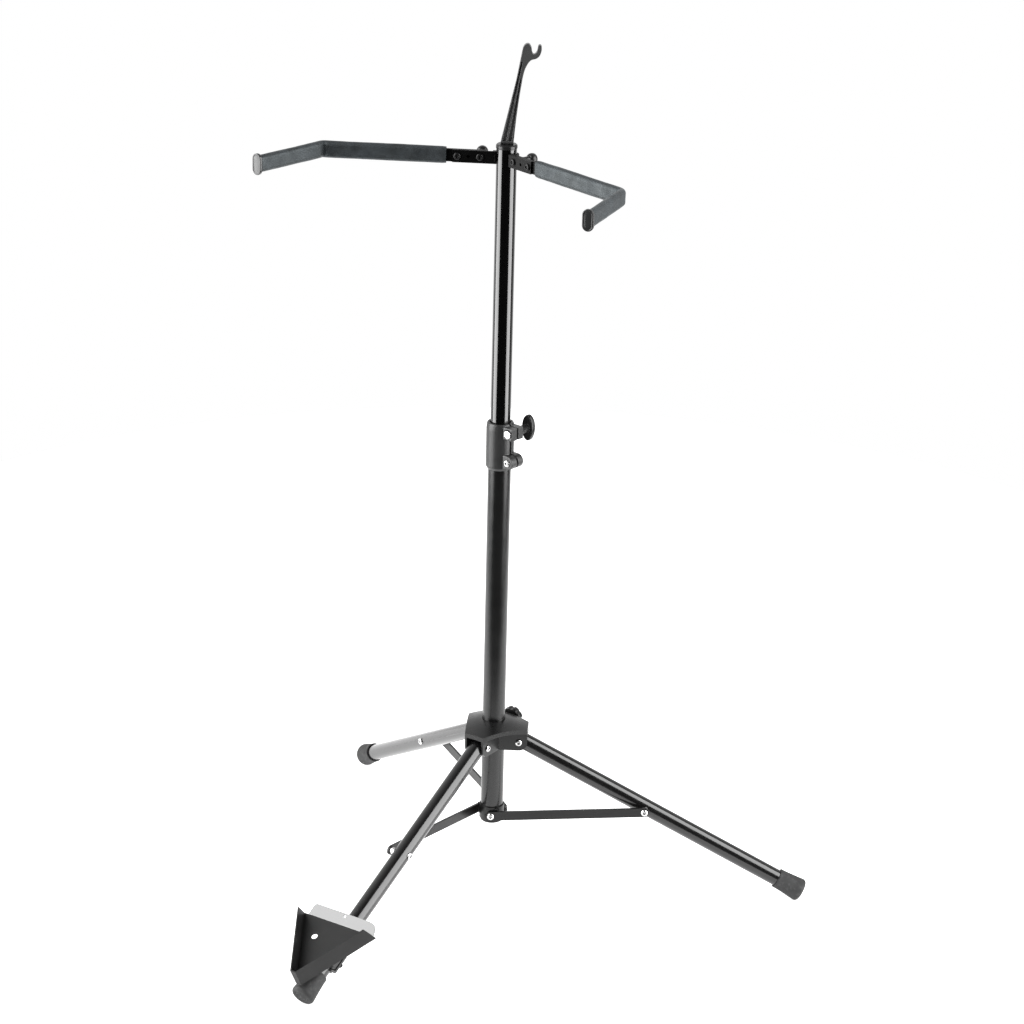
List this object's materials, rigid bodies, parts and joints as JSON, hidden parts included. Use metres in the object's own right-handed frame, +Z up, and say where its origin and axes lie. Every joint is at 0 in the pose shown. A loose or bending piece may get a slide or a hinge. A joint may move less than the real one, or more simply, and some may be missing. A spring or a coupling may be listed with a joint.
{
  "type": "double bass stand",
  "caption": "Folding floor stand: tripod base with an endpin tray on one leg, telescopic mast, two padded support arms and a bow hook.",
  "frame": {"origin": "on the floor, on the axis of the mast", "axes": "+Z up along the mast; the tray leg points to -Y; +X to the right seen from the front"},
  "size_m": [0.7424, 0.6589, 1.1521],
  "materials": {
    "satin_black": "satin black powder coat",
    "gloss_black": "gloss black",
    "leg_black": "semi gloss black",
    "plastic": "moulded, matte dark grey",
    "rubber": "fine texture, dark grey",
    "nickel": "bright nickel plate",
    "pad": "soft foam rubber sleeve, grey",
    "screw_black": "blackened screw",
    "cap_black": "moulded, smooth, black",
    "sheet_black": "black powder coat on folded sheet"
  },
  "bodies": {
    "column": {"lower_tube": "satin_black", "tube_end_plug": "plastic", "base_spider": "satin_black", "spider_screw_front": "nickel", "spider_screw_right": "nickel", "spider_screw_left": "nickel", "clamp_collar": "plastic", "clamp_bolt": "nickel", "collar_screw": "nickel", "collar_nut": "nickel"},
    "hub": {"tripod_hub": "plastic", "hub_rivet_front": "nickel", "hub_rivet_right": "nickel", "hub_rivet_left": "nickel"},
    "hub_lock": {"hub_knob": "plastic"},
    "front_leg": {"leg_front": "leg_black", "foot_front": "rubber", "strut_nut_front": "nickel", "tray_pan": "sheet_black", "tray_back_plate": "sheet_black", "tray_saddle": "plastic", "tray_strap": "plastic", "tray_screw_right": "nickel", "tray_screw_left": "nickel"},
    "front_strut": {"strut_front": "satin_black", "strut_bolt_front": "nickel"},
    "right_leg": {"leg_right": "leg_black", "foot_right": "rubber", "strut_nut_right": "nickel"},
    "right_strut": {"strut_right": "satin_black", "strut_bolt_right": "nickel"},
    "left_leg": {"leg_left": "leg_black", "foot_left": "rubber", "strut_nut_left": "nickel"},
    "left_strut": {"strut_left": "satin_black", "strut_bolt_left": "nickel"},
    "clamp_lock": {"clamp_knob": "plastic"},
    "mast_slider": {"inner_guide": "plastic"},
    "mast": {"upper_tube": "gloss_black", "mast_cap": "plastic", "arm_bracket": "satin_black", "arm_bar_right": "satin_black", "arm_pad_right": "pad", "arm_end_cap_right": "cap_black", "arm_stud_right": "screw_black", "arm_screw_right": "screw_black", "arm_nut_right": "screw_black", "arm_bar_left": "satin_black", "arm_pad_left": "pad", "arm_end_cap_left": "cap_black", "arm_stud_left": "screw_black", "arm_screw_left": "screw_black", "arm_nut_left": "screw_black"},
    "hook": {"bow_hook": "plastic"},
    "right_arm_lock": {"arm_knob_right": "plastic"},
    "left_arm_lock": {"arm_knob_left": "plastic"}
  },
  "joints": [
    {"name": "fold_slide", "type": "slide", "parent": "column", "child": "hub", "axis": [0, 0, 1], "range_m": [0, 0.2851]},
    {"name": "leg_front_hinge", "type": "hinge", "parent": "hub", "child": "front_leg", "pos_m": [0, -0.0345, 0.21638], "axis": [1, 0, 0], "range_deg": [0, 58.34]},
    {"name": "strut_front_hinge", "type": "hinge", "parent": "column", "child": "front_strut", "pos_m": [0, 0, 0.109], "axis": [-1, 0, 0], "range_deg": [0, 72.1]},
    {"name": "leg_right_hinge", "type": "hinge", "parent": "hub", "child": "right_leg", "pos_m": [0.02988, 0.01725, 0.21638], "axis": [-0.5, 0.866, 0], "range_deg": [0, 58.34]},
    {"name": "strut_right_hinge", "type": "hinge", "parent": "column", "child": "right_strut", "pos_m": [0, 0, 0.109], "axis": [0.5, -0.866, 0], "range_deg": [0, 72.1]},
    {"name": "leg_left_hinge", "type": "hinge", "parent": "hub", "child": "left_leg", "pos_m": [-0.02988, 0.01725, 0.21638], "axis": [-0.5, -0.866, 0], "range_deg": [0, 58.34]},
    {"name": "strut_left_hinge", "type": "hinge", "parent": "column", "child": "left_strut", "pos_m": [0, 0, 0.109], "axis": [0.5, 0.866, 0], "range_deg": [0, 72.1]},
    {"name": "hub_knob_turn", "type": "hinge", "parent": "hub", "child": "hub_lock", "pos_m": [0, 0.045, 0.22998], "axis": [0, 1, 0], "range_deg": [-540, 0]},
    {"name": "clamp_knob_turn", "type": "hinge", "parent": "column", "child": "clamp_lock", "pos_m": [0.02488, 0.02213, 0.65], "axis": [0.1219, 0.9925, 0], "range_deg": [-540, 0]},
    {"name": "mast_height", "type": "slide", "parent": "column", "child": "mast_slider", "axis": [0, 0, 1], "range_m": [-0.26, 0.11]},
    {"name": "mast_swivel", "type": "hinge", "parent": "mast_slider", "child": "mast", "pos_m": [0, 0, 0.8], "axis": [0, 0, 1], "continuous": true},
    {"name": "hook_swivel", "type": "hinge", "parent": "mast", "child": "hook", "pos_m": [0, 0, 1.03], "axis": [0, 0, 1], "continuous": true},
    {"name": "arm_knob_right_turn", "type": "hinge", "parent": "mast", "child": "right_arm_lock", "pos_m": [0.02896, 0.01291, 1.0076], "axis": [0.294, 0.9558, 0], "range_deg": [-540, 0]},
    {"name": "arm_knob_left_turn", "type": "hinge", "parent": "mast", "child": "left_arm_lock", "pos_m": [-0.04075, 0.00601, 1.0076], "axis": [-0.4756, 0.8796, 0], "range_deg": [-540, 0]}
  ],
  "couplings": [
    {"joint": "leg_front_hinge", "follows": "fold_slide", "rad_per_m": 3.5531},
    {"joint": "strut_front_hinge", "follows": "fold_slide", "rad_per_m": 4.3956},
    {"joint": "leg_right_hinge", "follows": "fold_slide", "rad_per_m": 3.5531},
    {"joint": "strut_right_hinge", "follows": "fold_slide", "rad_per_m": 4.3956},
    {"joint": "leg_left_hinge", "follows": "fold_slide", "rad_per_m": 3.5531},
    {"joint": "strut_left_hinge", "follows": "fold_slide", "rad_per_m": 4.3956}
  ]
}
